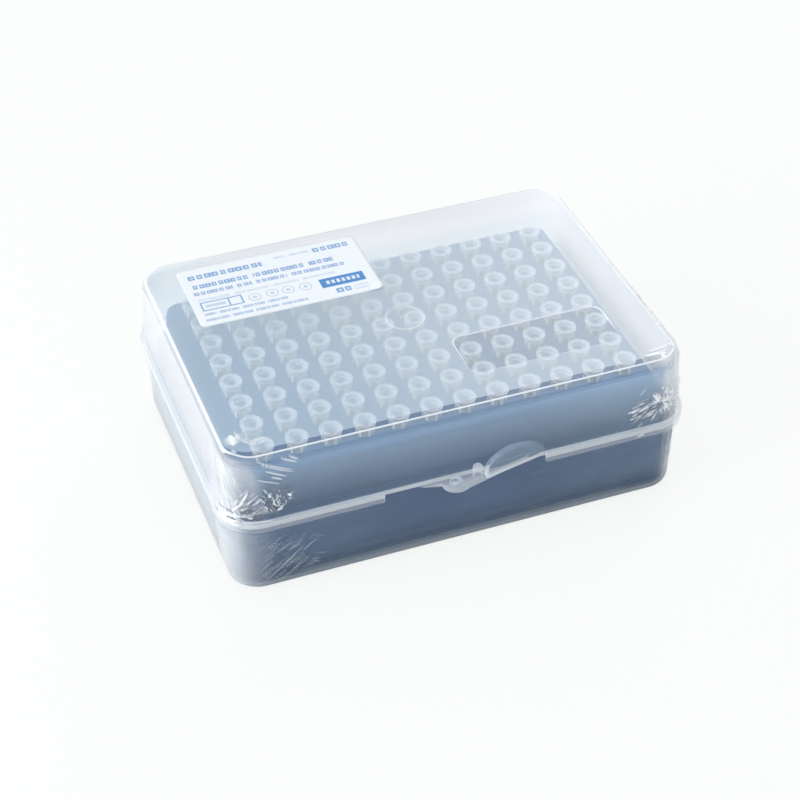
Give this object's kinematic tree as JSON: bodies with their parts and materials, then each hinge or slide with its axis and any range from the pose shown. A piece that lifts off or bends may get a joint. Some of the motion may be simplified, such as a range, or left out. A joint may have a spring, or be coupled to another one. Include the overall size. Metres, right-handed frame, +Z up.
{
  "type": "box of pipette tips",
  "caption": "Hinged clear plastic box in shrink film, holding a grid of small pipette tips hung in an inner rack.",
  "frame": {"origin": "middle of the flat foot that the box stands on", "axes": "+Z up, X along the long side, the clasp faces -Y and the hinges +Y"},
  "size_m": [0.1278, 0.1008, 0.043],
  "materials": {
    "case_plastic": "translucent natural polypropylene, frosted on the lid's top",
    "rack_plastic": "blue-grey polypropylene, fine matt",
    "tip_plastic": "milky natural polypropylene",
    "label_paper": "white coated paper with blue print",
    "shrink_film": "clear glossy shrink film"
  },
  "bodies": {
    "base": {"base": "case_plastic", "tip_rack": "rack_plastic", "tips_column_01": "tip_plastic", "tips_column_02": "tip_plastic", "tips_column_03": "tip_plastic", "tips_column_04": "tip_plastic", "tips_column_05": "tip_plastic", "tips_column_06": "tip_plastic", "tips_column_07": "tip_plastic", "tips_column_08": "tip_plastic", "tips_column_09": "tip_plastic", "tips_column_10": "tip_plastic", "tips_column_11": "tip_plastic", "tips_column_12": "tip_plastic", "film_lower": "shrink_film"},
    "lid": {"lid": "case_plastic", "label": "label_paper", "film_upper": "shrink_film"}
  },
  "joints": [
    {"name": "lid_hinge", "type": "hinge", "parent": "base", "child": "lid", "pos_m": [0, 0.0486, 0.023], "axis": [-1, 0, 0], "range_deg": [0, 180]}
  ]
}
